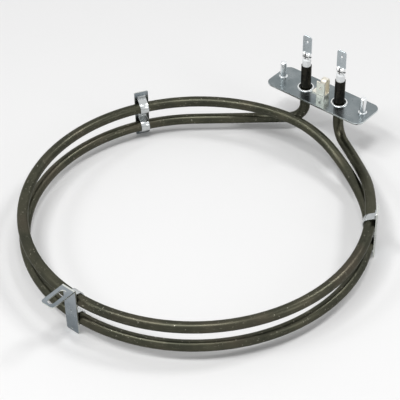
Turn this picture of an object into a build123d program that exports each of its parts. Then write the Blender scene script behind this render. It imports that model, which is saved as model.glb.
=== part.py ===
from build123d import *
import os
from math import acos, atan2, cos, degrees, hypot, radians, sin

# Round tubular element for a fan oven, in millimetres.
# Origin: the axis of the coil at the level of the clip feet, +Z towards the terminals, plate towards +Y.

# ---- driving dimensions ----
sheath_dia = 6.5
sheath_wall = 0.6
pin_dia = 2.6
ring_outer_dia = 206.5
turn_spacing = 13.6
lower_turn_height = 8.6
seat_height = 32.0

plate_length = 72.0
plate_width = 24.0
plate_thickness = 1.2
plate_corner_radius = 5.0
plate_beyond_ring = 17.75
leg_spacing = 25.8
leg_bend_radius = 10.0
stake_ring_dia = 10.0
stake_ring_width = 0.9
stake_ring_height = 0.6
stake_groove_depth = 0.5

right_lead_heading = 148.0
rise_starts_at = 50.0
rise_ends_at = 98.0

leg_above_plate = 16.5
seal_collar_dia = 5.4
seal_collar_height = 5.0
seal_plug_depth = 4.0
seal_rim_chamfer = 0.5
cold_pin_below_plate = 11.0

spade_width = 6.3
spade_thickness = 0.8
spade_top_above_plate = 38.0
spade_tip_chamfer = 1.1
spade_hole_dia = 1.7
spade_tip_bevel = 0.25
spade_hole_below_tip = 4.4
spade_dimple_dia = 2.6
spade_dimple_depth = 0.3
crimp_barrel_width = 4.0
crimp_barrel_height = 2.0
crimp_wing_width = 5.2
crimp_wing_height = 2.4
crimp_depth = 3.4
crimp_rounding = 0.8
crimp_seam = 0.9

stud_from_plate_end = 5.5
stud_dia = 4.0
stud_height = 11.5
stud_shoulder_dia = 4.8
stud_flange_dia = 5.4
stud_flange_height = 0.8
stud_tip_chamfer = 0.6

earth_sheet = 0.8
earth_blade_width = 6.3
earth_blade_height = 9.4
earth_blade_centre_x = -0.5
earth_foot_overhang = 3.2
earth_depth = 5.6
earth_bridge_width = 3.6
earth_hole_dia = 1.6
earth_hole_height = 5.4
earth_front_offset = -1.6

clip_sheet = 0.8
clip_width = 9.0
clip_tab_length = 16.6
clip_bend_radius = 0.7
clip_foot_radius = 0.8
clip_corner_radius = 1.8
clip_slot_width = 4.2
clip_slot_length = 12.4
clip_slot_from_bend = 2.6
weld_dimple_dia = 1.8
weld_dimple_depth = 0.2
band_width = 5.4
band_clearance = 0.05
band_slope_angle = 20.0
band_flange_height = 1.9
front_clip_azimuth = 270.0
azimuth_between_clips = 120.0

# ---- derived sizes ----
sheath_radius = sheath_dia / 2
bore_radius = sheath_radius - sheath_wall
pin_radius = pin_dia / 2
ring_radius = ring_outer_dia / 2 - sheath_radius
plate_centre_y = ring_outer_dia / 2 + plate_beyond_ring
stud_spacing = plate_length - 2 * stud_from_plate_end
low_z = lower_turn_height
high_z = lower_turn_height + turn_spacing
plate_top = seat_height
plate_bottom = plate_top - plate_thickness
leg_top = plate_top + leg_above_plate
pin_bottom = plate_bottom - cold_pin_below_plate
seal_top = leg_top + seal_collar_height
spade_top = plate_top + spade_top_above_plate
crimp_top = seal_top + crimp_barrel_height + crimp_wing_height
left_hole = Vector(-leg_spacing / 2, plate_centre_y, 0)
right_hole = Vector(leg_spacing / 2, plate_centre_y, 0)
strap_face = ring_radius + sheath_radius
full_turn = 360.0


def on_ring(azimuth, z):
    angle = radians(azimuth)
    return Vector(ring_radius * cos(angle), ring_radius * sin(angle), z)


def left_tangent_azimuth():
    """Azimuth where a straight lead from the left hole touches the coil."""
    reach = hypot(left_hole.X, left_hole.Y)
    return degrees(atan2(left_hole.Y, left_hole.X) + acos(ring_radius / reach))


def level_arc(z, start_azimuth, end_azimuth):
    return CenterArc((0, 0, z), ring_radius, start_azimuth, end_azimuth - start_azimuth)


def ramp(centre, radius, start_angle, end_angle, start_z, end_z):
    """Two tilted arcs that wind round centre from one level to another, level at both ends.

    The meeting point lies hypot(radius, half the rise) from the axis, which makes the arcs tangent there.
    """
    half_rise = (end_z - start_z) / 2
    start = centre + Vector(radius * cos(start_angle), radius * sin(start_angle), start_z)
    end = centre + Vector(radius * cos(end_angle), radius * sin(end_angle), end_z)
    middle_angle = (start_angle + end_angle) / 2
    middle_radius = hypot(radius, half_rise)
    flat_middle = Vector(middle_radius * cos(middle_angle), middle_radius * sin(middle_angle), 0)
    middle = centre + flat_middle + Vector(0, 0, start_z + half_rise)
    start_heading = Vector(-sin(start_angle), cos(start_angle), 0)
    back_heading = Vector(sin(end_angle), -cos(end_angle), 0)
    first_arc = TangentArc(start, middle, tangent=start_heading)
    second_arc = TangentArc(end, middle, tangent=back_heading)
    return [first_arc, second_arc]


def heading_vector(angle):
    return Vector(cos(radians(angle)), sin(radians(angle)), 0)


def right_lead_arc():
    """Plan arc that leaves the coil tangentially and runs into the right leg bend: centre and radius."""
    heading = heading_vector(right_lead_heading)
    outward = heading_vector(right_lead_heading - 90)
    target = right_hole - heading * leg_bend_radius
    radius = (target.length**2 - ring_radius**2) / (2 * (target.dot(outward) - ring_radius))
    return target - outward * radius, radius


def leg_bend(hole, heading):
    """Quarter bend that turns a level lead, running along heading, up into the leg."""
    start = hole - heading * leg_bend_radius + Vector(0, 0, low_z)
    end = hole + Vector(0, 0, low_z + leg_bend_radius)
    return TangentArc(start, end, tangent=heading)


def element_centreline():
    """Arcs and lines from the top of the left leg, round the coil, to the top of the right leg."""
    touch_azimuth = left_tangent_azimuth()
    touch = on_ring(touch_azimuth, low_z)
    left_heading = (left_hole + Vector(0, 0, low_z) - touch).normalized()
    left_bend = leg_bend(left_hole, left_heading)
    right_bend = leg_bend(right_hole, heading_vector(right_lead_heading))
    centre, radius = right_lead_arc()
    drop_start = atan2(-centre.Y, -centre.X)
    drop_end = radians(right_lead_heading - 90)
    leave_azimuth = degrees(drop_start)
    pieces = [Line(left_hole + Vector(0, 0, leg_top), left_bend @ 1)]
    pieces.append(left_bend)
    pieces.append(Line(left_bend @ 0, touch))
    pieces.append(level_arc(low_z, touch_azimuth, full_turn + rise_starts_at))
    coil_axis = Vector(0, 0, 0)
    pieces += ramp(coil_axis, ring_radius, radians(rise_starts_at), radians(rise_ends_at), low_z, high_z)
    pieces.append(level_arc(high_z, rise_ends_at, full_turn + leave_azimuth))
    pieces += ramp(centre, radius, drop_start, drop_end, high_z, low_z)
    pieces.append(right_bend)
    pieces.append(Line(right_bend @ 1, right_hole + Vector(0, 0, leg_top)))
    return pieces


def round_bar(piece):
    """Solid bar along one line or arc of the centreline."""
    section = Plane(origin=piece @ 0, z_dir=piece % 0) * Circle(sheath_radius)
    if piece.geom_type == GeomType.LINE:
        return extrude(section, amount=piece.length, dir=piece % 0)
    turn_axis = Axis(piece.arc_center, (piece % 0).cross((piece % 0.5)))
    return revolve(section, axis=turn_axis, revolution_arc=degrees(piece.length / piece.radius))


def sheath_tube():
    """The whole element, solid where powder and wire are pressed hard, bored in both legs for the pins."""
    bars = [round_bar(piece) for piece in element_centreline()]
    tube = bars[0].fuse(*bars[1:])
    for x in (left_hole.X, right_hole.X):
        tube -= upright(bore_radius, pin_bottom, leg_top, x, plate_centre_y)
    return tube


def magnesia_sleeve(x):
    """Powder pressed round the cold pin inside the leg."""
    sleeve = upright(bore_radius, pin_bottom, leg_top - seal_plug_depth, x, plate_centre_y)
    return sleeve - upright(pin_radius, pin_bottom, leg_top, x, plate_centre_y)


def upright(radius, bottom, top, x, y):
    cylinder = Cylinder(radius, top - bottom, align=(Align.CENTER, Align.CENTER, Align.MIN))
    return Pos(x, y, bottom) * cylinder


def end_seal(x):
    """Ceramic bead: a plug in the bore and a collar on the tube end, bored for the pin."""
    plug = upright(bore_radius, leg_top - seal_plug_depth, leg_top, x, plate_centre_y)
    collar = upright(seal_collar_dia / 2, leg_top, seal_top, x, plate_centre_y)
    bead = plug + collar
    rim = bead.edges().group_by(Axis.Z)[-1]
    bead = chamfer(rim, seal_rim_chamfer)
    return bead - upright(pin_radius, leg_top - seal_plug_depth, seal_top, x, plate_centre_y)


def terminal_pin(x):
    return upright(pin_radius, pin_bottom, crimp_top, x, plate_centre_y)


def rounded_block(width, height, x, bottom):
    """One stage of the crimp: a block with all its edges rounded, centred on the pin."""
    block = Box(width, crimp_depth, height, align=(Align.CENTER, Align.CENTER, Align.MIN))
    block = fillet(block.edges(), crimp_rounding)
    return Pos(x, plate_centre_y, bottom) * block


def crimp(x):
    """Barrel closed on the pin with the wider wings above it, and a seam down the front."""
    barrel = rounded_block(crimp_barrel_width, crimp_barrel_height, x, seal_top)
    wings = rounded_block(crimp_wing_width, crimp_wing_height, x, seal_top + crimp_barrel_height)
    seam = upright(crimp_seam / 2, seal_top, crimp_top, x, plate_centre_y - crimp_depth / 2)
    return barrel + wings - seam


def spade_tab(x):
    """Push-on tab with a dimpled latch hole, crimped on the top of the pin."""
    middle_z = (seal_top + spade_top) / 2
    blade = Pos(x, plate_centre_y, middle_z) * Box(spade_width, spade_thickness, spade_top - seal_top)
    tip_corners = blade.edges().filter_by(Axis.Y).group_by(Axis.Z)[-1]
    blade = chamfer(tip_corners, spade_tip_chamfer)
    tip_edges = blade.edges().filter_by(Axis.X).group_by(Axis.Z)[-1]
    blade = chamfer(tip_edges, spade_tip_bevel)
    hole_z = spade_top - spade_hole_below_tip
    hole = Cylinder(spade_hole_dia / 2, 2 * spade_thickness, rotation=(90, 0, 0))
    dimple = Cone(spade_dimple_dia / 2, spade_hole_dia / 2, spade_dimple_depth, rotation=(-90, 0, 0))
    dimple_y = plate_centre_y - spade_thickness / 2 + spade_dimple_depth / 2
    blade -= Pos(x, plate_centre_y, hole_z) * hole
    blade -= Pos(x, dimple_y, hole_z) * dimple
    return blade + crimp(x) - upright(pin_radius, seal_top, crimp_top, x, plate_centre_y)


def mounting_plate():
    """Flat plate with a staked ring and groove round each leg and holes for the two studs."""
    outline = RectangleRounded(plate_length, plate_width, plate_corner_radius)
    plate = Pos(0, plate_centre_y, plate_bottom) * extrude(outline, plate_thickness)
    for x in (left_hole.X, right_hole.X):
        groove_radius = stake_ring_dia / 2 - stake_ring_width
        ring = Circle(stake_ring_dia / 2) - Circle(groove_radius)
        plate += Pos(x, plate_centre_y, plate_top) * extrude(ring, stake_ring_height)
        plate -= upright(groove_radius, plate_top - stake_groove_depth, plate_top, x, plate_centre_y)
        plate -= upright(sheath_radius, plate_bottom, plate_top, x, plate_centre_y)
    for x in (-stud_spacing / 2, stud_spacing / 2):
        plate -= upright(stud_shoulder_dia / 2, plate_bottom, plate_top, x, plate_centre_y)
    return plate


def stud(x):
    """Stud pressed into the plate by its shoulder, with a small flange on the top face."""
    shank = upright(stud_dia / 2, plate_top, plate_top + stud_height, x, plate_centre_y)
    shank = chamfer(shank.edges().group_by(Axis.Z)[-1], stud_tip_chamfer)
    shoulder = upright(stud_shoulder_dia / 2, plate_bottom, plate_top, x, plate_centre_y)
    flange = upright(stud_flange_dia / 2, plate_top, plate_top + stud_flange_height, x, plate_centre_y)
    return shank + shoulder + flange


def earth_tab():
    """Bent strip: foot on the plate, blade with a hole, and a narrow bridge curled over to a rear leg."""
    front = plate_centre_y + earth_front_offset
    foot_width = earth_blade_width + earth_foot_overhang
    right_edge = earth_blade_centre_x + earth_blade_width / 2
    low = (Align.MAX, Align.MIN, Align.MIN)
    tab = Pos(right_edge, front, plate_top) * Box(foot_width, earth_depth, earth_sheet, align=low)
    blade = Box(earth_blade_width, earth_sheet, earth_blade_height, align=low)
    tab += Pos(right_edge, front, plate_top) * blade
    curl_radius = earth_depth / 2
    curl_centre_z = plate_top + earth_blade_height
    curl = Circle(curl_radius) - Circle(curl_radius - earth_sheet)
    curl -= Pos(0, -curl_radius) * Rectangle(2 * curl_radius, 2 * curl_radius)
    curl_centre = Vector(right_edge, front + curl_radius, curl_centre_z)
    curl_plane = Plane(origin=curl_centre, x_dir=(0, 1, 0), z_dir=(1, 0, 0))
    tab += extrude(curl_plane * curl, -earth_bridge_width)
    rear = Box(earth_bridge_width, earth_sheet, earth_blade_height, align=(Align.MAX, Align.MAX, Align.MIN))
    tab += Pos(right_edge, front + earth_depth, plate_top) * rear
    hole = Cylinder(earth_hole_dia / 2, 3 * earth_sheet, rotation=(90, 0, 0))
    return tab - Pos(earth_blade_centre_x, front, plate_top + earth_hole_height) * hole


def clip_strap(tabbed):
    """Outer strap of a clip, drawn for azimuth 0, with its foot at the bottom. One ends in a slotted tab."""
    strip = Box(clip_sheet, clip_width, seat_height, align=(Align.MIN, Align.CENTER, Align.MIN))
    strap = Pos(strap_face, 0, 0) * strip
    strap = fillet(strap.edges().filter_by(Axis.X).group_by(Axis.Z)[0], clip_foot_radius)
    if tabbed:
        strap = strap_with_tab(strap)
    else:
        strap = fillet(strap.edges().filter_by(Axis.X).group_by(Axis.Z)[-1], clip_foot_radius)
    for z in weld_heights():
        dimple = Cylinder(weld_dimple_dia / 2, 2 * weld_dimple_depth, rotation=(0, 90, 0))
        strap -= Pos(strap_face + clip_sheet, 0, z) * dimple
    return strap


def strap_with_tab(strap):
    """The strap bent outwards at the top into a level tab with rounded corners and a slot."""
    align = (Align.MIN, Align.CENTER, Align.MAX)
    tab = Box(clip_sheet + clip_tab_length, clip_width, clip_sheet, align=align)
    tab = Pos(strap_face, 0, seat_height) * tab
    tab = fillet(tab.edges().filter_by(Axis.Z).group_by(Axis.X)[-1], clip_corner_radius)
    strap += tab
    outer_bend = strap.edges().filter_by(Axis.Y).group_by(Axis.Z)[-1].sort_by(Axis.X)[0]
    strap = fillet(outer_bend, clip_bend_radius)
    slot = extrude(SlotOverall(clip_slot_length, clip_slot_width), clip_sheet)
    slot_x = strap_face + clip_sheet + clip_slot_from_bend + clip_slot_length / 2
    return strap - Pos(slot_x, 0, seat_height - clip_sheet) * slot


def band_half_height(radius):
    """Height above a turn's centre at which a band face of that radius meets the strap."""
    slope = radians(band_slope_angle)
    return (radius + sheath_radius * sin(slope)) / cos(slope)


def band_end_heights():
    """Levels of the band's lower and upper ends, a flange beyond its outermost bends."""
    beyond_turn = band_half_height(sheath_radius + band_clearance + clip_sheet) + band_flange_height
    return low_z - beyond_turn, high_z + beyond_turn


def weld_heights():
    """Levels of the spot welds that show: on the lower flange, and midway between the turns."""
    return band_end_heights()[0] + band_flange_height / 2, (low_z + high_z) / 2


def band_profile(radius, z):
    """Round one turn with that radius, then sloping outwards to the strap on both sides."""
    slope = radians(band_slope_angle)
    touch_x = ring_radius - radius * sin(slope)
    touch_height = radius * cos(slope)
    strap_height = band_half_height(radius)
    upper = [(touch_x, z + touch_height), (strap_face, z + strap_height)]
    lower = [(strap_face, z - strap_height), (touch_x, z - touch_height)]
    return Pos(ring_radius, z) * Circle(radius) + Polygon(*upper, *lower, align=None)


def retaining_band():
    """Inner band of a clip, drawn for azimuth 0: hugs both turns and lies on the strap between them."""
    bore = sheath_radius + band_clearance
    lowest, highest = band_end_heights()
    flange = Rectangle(clip_sheet, highest - lowest)
    section = Pos(strap_face - clip_sheet / 2, (lowest + highest) / 2) * flange
    for z in (low_z, high_z):
        section += band_profile(bore + clip_sheet, z)
    for z in (low_z, high_z):
        section -= band_profile(bore, z)
    beyond = Rectangle(2 * highest, 2 * highest, align=(Align.MIN, Align.CENTER))
    section -= Pos(strap_face, 0) * beyond
    return extrude(Plane.XZ * section, band_width / 2, both=True)


def save(name, shape):
    export_step(shape, os.path.join("parts", name + ".step"))


def main():
    os.makedirs("parts", exist_ok=True)
    save("sheath_tube", sheath_tube())
    save("mounting_plate", mounting_plate())
    save("earth_tab", earth_tab())
    for side, hole in (("left", left_hole), ("right", right_hole)):
        save("terminal_pin_" + side, terminal_pin(hole.X))
        save("magnesia_sleeve_" + side, magnesia_sleeve(hole.X))
        save("end_seal_" + side, end_seal(hole.X))
        save("spade_tab_" + side, spade_tab(hole.X))
    for side, x in (("left", -stud_spacing / 2), ("right", stud_spacing / 2)):
        save("stud_" + side, stud(x))
    turn = front_clip_azimuth
    for place in ("front", "right", "left"):
        save("clip_strap_" + place, Rot(0, 0, turn) * clip_strap(place == "front"))
        save("retaining_band_" + place, Rot(0, 0, turn) * retaining_band())
        turn += azimuth_between_clips


main()
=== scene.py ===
from math import cos, pi, radians, sin

import bpy
from mathutils import Matrix, Vector


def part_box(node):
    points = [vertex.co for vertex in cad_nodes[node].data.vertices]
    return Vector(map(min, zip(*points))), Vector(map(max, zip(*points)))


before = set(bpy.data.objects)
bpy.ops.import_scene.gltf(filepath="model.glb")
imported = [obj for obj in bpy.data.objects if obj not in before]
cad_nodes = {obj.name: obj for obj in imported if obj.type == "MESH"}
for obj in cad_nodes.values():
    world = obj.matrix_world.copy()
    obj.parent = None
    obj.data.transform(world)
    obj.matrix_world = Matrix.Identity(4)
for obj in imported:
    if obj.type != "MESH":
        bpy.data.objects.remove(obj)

# Dresses the imported fan-oven element with finishes, some painted highlights and painted shade,
# softened sheet edges, a floor, lamps and a camera.
# Lengths are in metres and colours are linear.
MM = 0.001

# ---- camera, at the photograph's angle ----
AZIMUTH = radians(41.09)
ELEVATION = radians(40.103)
ROLL = radians(-1.141)
DISTANCE = 810.355 * MM
AIM_RIGHT = 2.114 * MM
AIM_UP = 7.297 * MM
AIM_HEIGHT = 15.4 * MM
LENS_IN_MM = 125.715
SENSOR_IN_MM = 36
CLIP_START = 10 * MM
CLIP_END = 100.0


def make_camera():
    back = Vector((sin(AZIMUTH) * cos(ELEVATION), -cos(AZIMUTH) * cos(ELEVATION), sin(ELEVATION)))
    right = Vector((cos(AZIMUTH), sin(AZIMUTH), 0))
    up = back.cross(right)
    aim = right * AIM_RIGHT + up * AIM_UP + Vector((0, 0, AIM_HEIGHT))
    rolled_right = right * cos(ROLL) + up * sin(ROLL)
    rolled_up = up * cos(ROLL) - right * sin(ROLL)
    data = bpy.data.cameras.new("camera")
    data.lens = LENS_IN_MM
    data.sensor_width = SENSOR_IN_MM
    data.clip_start = CLIP_START
    data.clip_end = CLIP_END
    camera = bpy.data.objects.new("camera", data)
    turn = Matrix((rolled_right, rolled_up, back)).transposed()
    camera.matrix_world = Matrix.Translation(aim + back * DISTANCE) @ turn.to_4x4()
    bpy.context.scene.collection.objects.link(camera)
    bpy.context.scene.camera = camera


make_camera()


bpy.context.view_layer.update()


# ---- places read from the frame: a leg's axis, top faces, and how far out the front strap starts ----
pin_low, pin_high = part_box("terminal_pin_right")
LEG_X = (pin_low[0] + pin_high[0]) / 2
LEG_Y = (pin_low[1] + pin_high[1]) / 2
PLATE_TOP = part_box("earth_tab")[0][2]
SEAL_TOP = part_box("end_seal_right")[1][2]
STRAP_INNER_FACE = -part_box("clip_strap_front")[1][1]

# ---- where the finishes, the painted highlights and the painted shade change ----
# distances from a leg's axis
STAKE_RING_EDGE = 5.2 * MM
STAKE_GROOVE_EDGE = 4.4 * MM
CRIMP_SEAM_FRONT = 0.9 * MM
# heights above the plate
SOOT_START = 1.0 * MM
THREAD_START = 1.3 * MM
# heights above the seals
CRIMP_WAIST = 2.0 * MM
CRIMP_TOP = 4.6 * MM
# distance beyond the inner face of the front strap
LEVEL_TAB_START = 1.45 * MM
# sizes
FOLD_HALF_WIDTH = 0.45 * MM
THREAD_PITCH = 0.7 * MM


# ---- node trees ----
class NodeTree:
    """A node tree, with short ways to add and join nodes."""

    def __init__(self, tree):
        self.tree = tree

    def add(self, kind, inputs=(), **settings):
        node = self.tree.nodes.new(kind)
        for name, value in settings.items():
            setattr(node, name, value)
        for name, value in dict(inputs).items():
            self.feed(node.inputs[name], value)
        return node

    def feed(self, socket, value):
        if isinstance(value, bpy.types.NodeSocket):
            self.tree.links.new(value, socket)
        else:
            socket.default_value = value

    def math(self, operation, a, b=0.0):
        return self.add("ShaderNodeMath", {0: a, 1: b}, operation=operation).outputs[0]

    def length(self, a, b):
        """Length of a level vector with the parts a and b."""
        squares = [self.math("MULTIPLY", part, part) for part in (a, b)]
        return self.math("SQRT", self.math("ADD", *squares))

    def step(self, value, low, high, out_low=0.0, out_high=1.0):
        """Goes smoothly from out_low to out_high as the value goes from low to high."""
        inputs = {"Value": value, "From Min": low, "From Max": high}
        inputs.update({"To Min": out_low, "To Max": out_high})
        return self.add("ShaderNodeMapRange", inputs, interpolation_type="SMOOTHSTEP").outputs[0]

    def above(self, value, edge, blur):
        """1 above the edge and 0 below it, with a blur on each side."""
        return self.step(value, edge - blur, edge + blur)

    def below(self, value, edge, blur):
        """1 below the edge and 0 above it, with a blur on each side."""
        return self.step(value, edge + blur, edge - blur)

    def seen_directly(self):
        """1 for camera, glossy and transmission rays, so that metal shows the white surroundings too."""
        path = self.add("ShaderNodeLightPath").outputs
        seen = path["Is Camera Ray"]
        for ray in ("Is Glossy Ray", "Is Transmission Ray"):
            seen = self.math("MAXIMUM", seen, path[ray])
        return seen


class Shader(NodeTree):
    """A new material on the Principled shader."""

    def __init__(self, name):
        self.material = bpy.data.materials.new(name)
        self.material.use_nodes = True
        super().__init__(self.material.node_tree)
        self.surface = self.tree.nodes["Principled BSDF"]
        self.place = self.add("ShaderNodeTexCoord").outputs["Object"]
        self.x, self.y, self.z = self.split(self.place)

    def set(self, name, value):
        self.feed(self.surface.inputs[name], value)

    def noise(self, scale, detail=3.0, rough=0.55, place=None):
        inputs = {"Vector": place or self.place, "Scale": scale, "Detail": detail, "Roughness": rough}
        return self.add("ShaderNodeTexNoise", inputs).outputs["Fac"]

    def mix(self, amount, a, b):
        """Colour a where the amount is 0, b where it is 1. Sockets 6 and 7 take the two colours."""
        inputs = {"Factor": amount, 6: a, 7: b}
        return self.add("ShaderNodeMix", inputs, data_type="RGBA").outputs[2]

    def cover(self, mask, colour):
        """Lays a colour over the base colour where the mask is 1."""
        under = self.surface.inputs["Base Color"].links[0].from_socket
        self.set("Base Color", self.mix(mask, under, colour))

    def bump(self, height, strength, distance):
        inputs = {"Height": height, "Strength": strength, "Distance": distance}
        self.set("Normal", self.add("ShaderNodeBump", inputs).outputs[0])

    def split(self, vector):
        return self.add("ShaderNodeSeparateXYZ", {"Vector": vector}).outputs

    def join(self, x, y, z):
        return self.add("ShaderNodeCombineXYZ", {"X": x, "Y": y, "Z": z}).outputs[0]

    def stretched(self, scale):
        return self.add("ShaderNodeMapping", {"Vector": self.place, "Scale": scale}).outputs[0]

    def normal(self):
        return self.split(self.add("ShaderNodeNewGeometry").outputs["Normal"])

    def upright_faces(self):
        """1 on faces that stand upright, 0 on level ones."""
        return self.step(self.math("ABSOLUTE", self.normal()[2]), 0.35, 0.7, 1.0, 0.0)

    def axis_distance(self):
        """Level distance from the ring's axis."""
        return self.length(self.x, self.y)

    def leg_side(self):
        """Distance along X from the axis of the nearer leg, negative between the legs."""
        return self.math("SUBTRACT", self.math("ABSOLUTE", self.x), LEG_X)

    def leg_distance(self):
        """Level distance from the axis of the nearer leg."""
        return self.length(self.leg_side(), self.math("SUBTRACT", self.y, LEG_Y))


def tone(r, g, b):
    return (r, g, b, 1.0)


def darker(colour, share):
    return tone(*(share * part for part in colour[:3]))


# ---- colours: a pair holds the darkest and the lightest tone of an uneven surface ----
OLIVE = (tone(0.033, 0.034, 0.022), tone(0.058, 0.057, 0.037))
SOOT = (tone(0.011, 0.01, 0.008), tone(0.036, 0.032, 0.02))
HEAT_BROWN = tone(0.062, 0.046, 0.035)
RUBBED_OLIVE = tone(0.105, 0.1, 0.073)
BARE_SCUFF = tone(0.26, 0.25, 0.2)
DULL_GLARE = tone(0.4, 0.4, 0.36)
PLATE_ZINC = (tone(0.17, 0.2, 0.21), tone(0.27, 0.3, 0.31))
# painted highlight on the plate's upright faces, partly the bare steel of its sheared edges
PLATE_BARE_EDGE_AND_HIGHLIGHT = tone(0.5, 0.54, 0.54)
# painted highlight on the staked ring round each leg
STAKE_RING_HIGHLIGHT = tone(0.82, 0.84, 0.84)
# painted shade in the groove between the staked ring and the tube
STAKE_GROOVE_SHADE = tone(0.08, 0.09, 0.09)
STRAP_ZINC = (tone(0.18, 0.21, 0.23), tone(0.29, 0.32, 0.34))
# painted highlight on the straps' sheared edges
STRAP_EDGE_HIGHLIGHT = tone(0.66, 0.68, 0.64)
BAND_STEEL = (tone(0.4, 0.42, 0.43), tone(0.56, 0.58, 0.58))
SPADE_STEEL = (tone(0.36, 0.4, 0.42), tone(0.48, 0.52, 0.54))
# painted highlight over the whole crimp
CRIMP_HIGHLIGHT = tone(0.86, 0.87, 0.87)
# painted shade in the folds of the crimp
CRIMP_FOLD_SHADE = tone(0.06, 0.06, 0.06)
STUD_STEEL = (tone(0.7, 0.72, 0.73), tone(0.84, 0.86, 0.87))
EARTH_STEEL = (tone(0.68, 0.64, 0.55), tone(0.82, 0.79, 0.7))
PIN_STEEL = (tone(0.3, 0.3, 0.3), tone(0.45, 0.45, 0.45))
SEAL_WHITE = (tone(0.68, 0.67, 0.64), tone(0.84, 0.86, 0.87))
MAGNESIA = (tone(0.6, 0.57, 0.5), tone(0.8, 0.79, 0.75))

# ---- finishes ----
# A radian of the ring is 100 mm long, so streaks that take it as 30 mm run lengthwise.
STREAK_PER_RADIAN = 30 * MM
GRAIN_ALONG_X = (120.0, 1500.0, 1500.0)
GRAIN_ALONG_Z = (1500.0, 1500.0, 120.0)


def oxidised_sheath():
    """Heat-browned steel with lengthwise rub marks, blackened above the plate."""
    s = Shader("oxidised_sheath")
    along = s.math("MULTIPLY", s.math("ARCTAN2", s.y, s.x), STREAK_PER_RADIAN)
    streaks = s.noise(900.0, 4.0, 0.6, s.join(along, s.axis_distance(), s.z))
    patches = s.noise(45.0, 4.0)
    fine = s.noise(2600.0, 2.0)
    scuffs = s.noise(800.0, 3.0, 0.6)
    heat_tint = s.noise(22.0, 2.0)
    ring = s.mix(s.step(patches, 0.35, 0.65), *OLIVE)
    ring = s.mix(s.step(heat_tint, 0.5, 0.7, 0.0, 0.45), ring, HEAT_BROWN)
    ring = s.mix(s.step(streaks, 0.56, 0.78), ring, RUBBED_OLIVE)
    ring = s.mix(s.step(scuffs, 0.64, 0.72), ring, BARE_SCUFF)
    legs = s.mix(s.step(streaks, 0.45, 0.7), *SOOT)
    s.set("Base Color", s.mix(s.above(s.z, PLATE_TOP + SOOT_START, 1.0 * MM), ring, legs))
    s.set("Metallic", 0.85)
    rough_patches = s.step(patches, 0.3, 0.7, 0.27, 0.33)
    rough_streaks = s.step(streaks, 0.4, 0.7, 0.0, 0.05)
    s.set("Roughness", s.math("ADD", rough_patches, rough_streaks))
    s.set("Specular Tint", DULL_GLARE)
    s.set("Coat Weight", 0.2)
    s.set("Coat Roughness", 0.28)
    s.bump(s.math("ADD", streaks, s.math("MULTIPLY", fine, 0.5)), 0.2, 0.05 * MM)
    return s


def plated(name, tones, rough, grain=GRAIN_ALONG_Z, depth=0.01 * MM):
    """Bright plated steel with faint clouding, fine lines along its grain and small handling marks."""
    s = Shader(name)
    dark, light = tones
    clouds = s.noise(60.0, 4.0)
    lines = s.noise(1.0, 3.0, 0.5, s.stretched(grain))
    marks = s.noise(420.0, 2.0)
    base = s.mix(s.step(clouds, 0.3, 0.7), dark, light)
    s.set("Base Color", s.mix(s.step(marks, 0.66, 0.8), base, darker(dark, 0.75)))
    s.set("Metallic", 1.0)
    rough_clouds = s.step(clouds, 0.3, 0.7, rough, rough + 0.1)
    s.set("Roughness", s.math("ADD", rough_clouds, s.math("MULTIPLY", lines, 0.06)))
    s.bump(lines, 0.5, depth)
    return s


def plate_zinc():
    """The plate's finish: its upright faces are lighter, partly bare sheared steel and partly painted
    highlight; the staked rings carry a painted highlight and the grooves inside them painted shade.
    """
    s = plated("plate_zinc", PLATE_ZINC, 0.15, GRAIN_ALONG_X)
    # upright faces: painted highlight, partly the bare sheared edge
    s.cover(s.upright_faces(), PLATE_BARE_EDGE_AND_HIGHLIGHT)
    leg_distance = s.leg_distance()
    # painted highlight on the staked ring round each leg
    s.cover(s.below(leg_distance, STAKE_RING_EDGE, 0.1 * MM), STAKE_RING_HIGHLIGHT)
    # painted shade in the groove inside the staked ring
    s.cover(s.below(leg_distance, STAKE_GROOVE_EDGE, 0.1 * MM), STAKE_GROOVE_SHADE)
    return s


def strap_zinc():
    """The straps' finish: dull faces with a painted highlight on the sheared edges, on the strip and on
    the level tab.
    """
    s = plated("strap_zinc", STRAP_ZINC, 0.2)
    nx, ny, nz = s.normal()
    reach = s.axis_distance()
    outward = s.math("ADD", s.math("MULTIPLY", nx, s.x), s.math("MULTIPLY", ny, s.y))
    sideways = s.step(s.math("ABSOLUTE", s.math("DIVIDE", outward, reach)), 0.3, 0.6, 1.0, 0.0)
    on_tab = s.above(reach, STRAP_INNER_FACE + LEVEL_TAB_START, 0.25 * MM)
    strip_edge = s.math("MULTIPLY", sideways, s.math("SUBTRACT", 1.0, on_tab))
    tab_edge = s.math("MULTIPLY", s.upright_faces(), on_tab)
    # painted highlight on the sheared edges of the strip and the tab
    s.cover(s.math("ADD", strip_edge, tab_edge), STRAP_EDGE_HIGHLIGHT)
    return s


def spade_steel():
    """Tabs in tinned steel: the crimp carries a painted highlight and painted shade in its folds."""
    s = plated("spade_steel", SPADE_STEEL, 0.2)
    on_crimp = s.below(s.z, SEAL_TOP + CRIMP_TOP, 0.2 * MM)
    in_front = s.below(s.y, LEG_Y - CRIMP_SEAM_FRONT, 0.1 * MM)
    from_waist = s.math("ABSOLUTE", s.math("SUBTRACT", s.z, SEAL_TOP + CRIMP_WAIST))
    from_middle = s.math("ABSOLUTE", s.leg_side())
    waist = s.below(from_waist, FOLD_HALF_WIDTH, 0.15 * MM)
    seam = s.math("MULTIPLY", s.below(from_middle, FOLD_HALF_WIDTH, 0.15 * MM), in_front)
    # painted highlight over the crimp
    s.cover(on_crimp, CRIMP_HIGHLIGHT)
    # painted shade in the crimp's waist fold and front seam
    s.cover(s.math("MULTIPLY", s.math("MAXIMUM", waist, seam), on_crimp), CRIMP_FOLD_SHADE)
    return s


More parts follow.
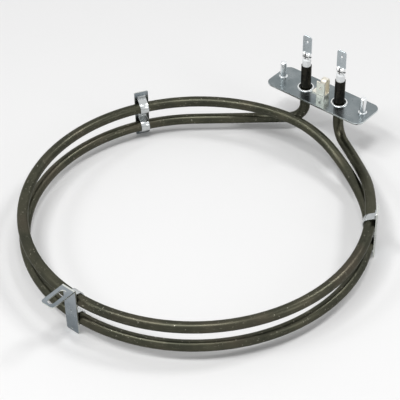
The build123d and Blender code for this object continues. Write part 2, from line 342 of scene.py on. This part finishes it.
def stud_steel():
    """Zinc-plated studs with a thread above the flange."""
    s = plated("stud_steel", STUD_STEEL, 0.14)
    ridges = s.math("SINE", s.math("MULTIPLY", s.z, 2 * pi / THREAD_PITCH))
    threaded = s.above(s.z, PLATE_TOP + THREAD_START, 0.3 * MM)
    s.bump(s.math("MULTIPLY", ridges, threaded), 0.35, 0.03 * MM)
    return s


def ceramic(name, tones, rough):
    """Matt ceramic with a fine grain and faint stains."""
    s = Shader(name)
    dark, light = tones
    grain = s.noise(1500.0, 3.0)
    stain = s.noise(180.0, 3.0)
    s.set("Base Color", s.mix(s.step(stain, 0.5, 0.8), light, dark))
    s.set("Roughness", s.step(grain, 0.3, 0.7, rough, rough + 0.15))
    s.bump(grain, 0.3, 0.1 * MM)
    return s


def dress():
    """Gives each node the finish whose key its name starts with."""
    finishes = {
        "sheath_tube": oxidised_sheath(),
        "mounting_plate": plate_zinc(),
        "earth_tab": plated("earth_steel", EARTH_STEEL, 0.22),
        "terminal_pin": plated("pin_steel", PIN_STEEL, 0.3),
        "magnesia_sleeve": ceramic("magnesia", MAGNESIA, 0.7),
        "end_seal": ceramic("seal_white", SEAL_WHITE, 0.5),
        "spade_tab": spade_steel(),
        "stud": stud_steel(),
        "clip_strap": strap_zinc(),
        "retaining_band": plated("band_steel", BAND_STEEL, 0.13, depth=0.002 * MM),
    }
    for name, node in cad_nodes.items():
        finish = next(finish for start, finish in finishes.items() if name.startswith(start))
        node.data.materials.clear()
        node.data.materials.append(finish.material)


SHEET_PARTS = ("mounting_plate", "clip_strap", "retaining_band", "earth_tab")
WELD_DISTANCE = 0.002 * MM
EDGE_ROUNDING = 0.15 * MM
SHARP_ANGLE = radians(50)


def soften_edges():
    """Sheet parts get the small rounding that their sheared edges have."""
    for name, node in cad_nodes.items():
        if name.startswith(SHEET_PARTS):
            weld = node.modifiers.new("weld", "WELD")
            weld.merge_threshold = WELD_DISTANCE
            bevel = node.modifiers.new("bevel", "BEVEL")
            bevel.width = EDGE_ROUNDING
            bevel.segments = 2
            bevel.limit_method = "ANGLE"
            bevel.angle_limit = SHARP_ANGLE
            bevel.harden_normals = True


dress()
soften_edges()


# ---- stage ----
FLOOR_SIZE = 8.0
FLOOR_DROP = 0.2 * MM
FLOOR_TONES = (tone(0.8, 0.8, 0.8), tone(0.84, 0.84, 0.84))
FAR_FLOOR = tone(0.9, 0.9, 0.9)
# level distances from the ring's axis
FADE_START = 0.35
FADE_END = 1.0
WORLD_WHITE = tone(1, 1, 1)
WORLD_SEEN = 1.0
WORLD_FILL = 0.3
RING_CENTRE = (0, 0, 0)


def make_floor():
    """A pale floor that holds the shadow near the part and fades to one even tone far from it."""
    bpy.ops.mesh.primitive_plane_add(size=FLOOR_SIZE, location=(0, 0, -FLOOR_DROP))
    floor = bpy.context.object
    floor.name = "floor"
    s = Shader("floor")
    s.set("Base Color", s.mix(s.noise(3.0), *FLOOR_TONES))
    s.set("Roughness", s.step(s.noise(40.0), 0.3, 0.7, 0.45, 0.5))
    far = s.math("MULTIPLY", s.step(s.axis_distance(), FADE_START, FADE_END), s.seen_directly())
    pale = s.add("ShaderNodeEmission", {"Color": FAR_FLOOR}).outputs[0]
    faded = s.add("ShaderNodeMixShader", {0: far, 1: s.surface.outputs[0], 2: pale}).outputs[0]
    s.feed(s.tree.nodes["Material Output"].inputs["Surface"], faded)
    floor.data.materials.append(s.material)


def make_world():
    """A white world that gives the part only a low fill light."""
    world = bpy.data.worlds.new("studio")
    bpy.context.scene.world = world
    world.use_nodes = True
    w = NodeTree(world.node_tree)
    strength = w.add("ShaderNodeMix", {"Factor": w.seen_directly(), "A": WORLD_FILL, "B": WORLD_SEEN})
    background = world.node_tree.nodes["Background"].inputs
    w.feed(background["Strength"], strength.outputs["Result"])
    w.feed(background["Color"], WORLD_WHITE)


def make_softbox(name, place, size, power, target=RING_CENTRE):
    data = bpy.data.lights.new(name, "AREA")
    data.shape = "RECTANGLE"
    data.size, data.size_y = size
    data.energy = power
    light = bpy.data.objects.new(name, data)
    light.location = place
    light.rotation_euler = (Vector(target) - Vector(place)).to_track_quat("-Z", "Y").to_euler()
    bpy.context.scene.collection.objects.link(light)


def make_lamps():
    """Softboxes, placed for the stretches of the ring where the photograph shows its highlights."""
    make_softbox("front_strip", (-0.1, -0.5, 1.1), size=(0.6, 0.13), power=4.9)
    make_softbox("overhead", (0.22, -0.2, 1.2), size=(0.24, 0.24), power=4.0)
    make_softbox("back_right", (0.36, 0.66, 1.0), size=(0.24, 0.28), power=3.6)
    make_softbox("front_left", (-0.7, -0.85, 0.95), size=(0.26, 0.26), power=2.3, target=(0, 0.02, 0))
    make_softbox("right", (1.1, 0.1, 0.55), size=(0.3, 0.6), power=1.5, target=(0, 0.05, 0))


make_floor()
make_world()
make_lamps()
bpy.context.scene.view_settings.view_transform = "Standard"
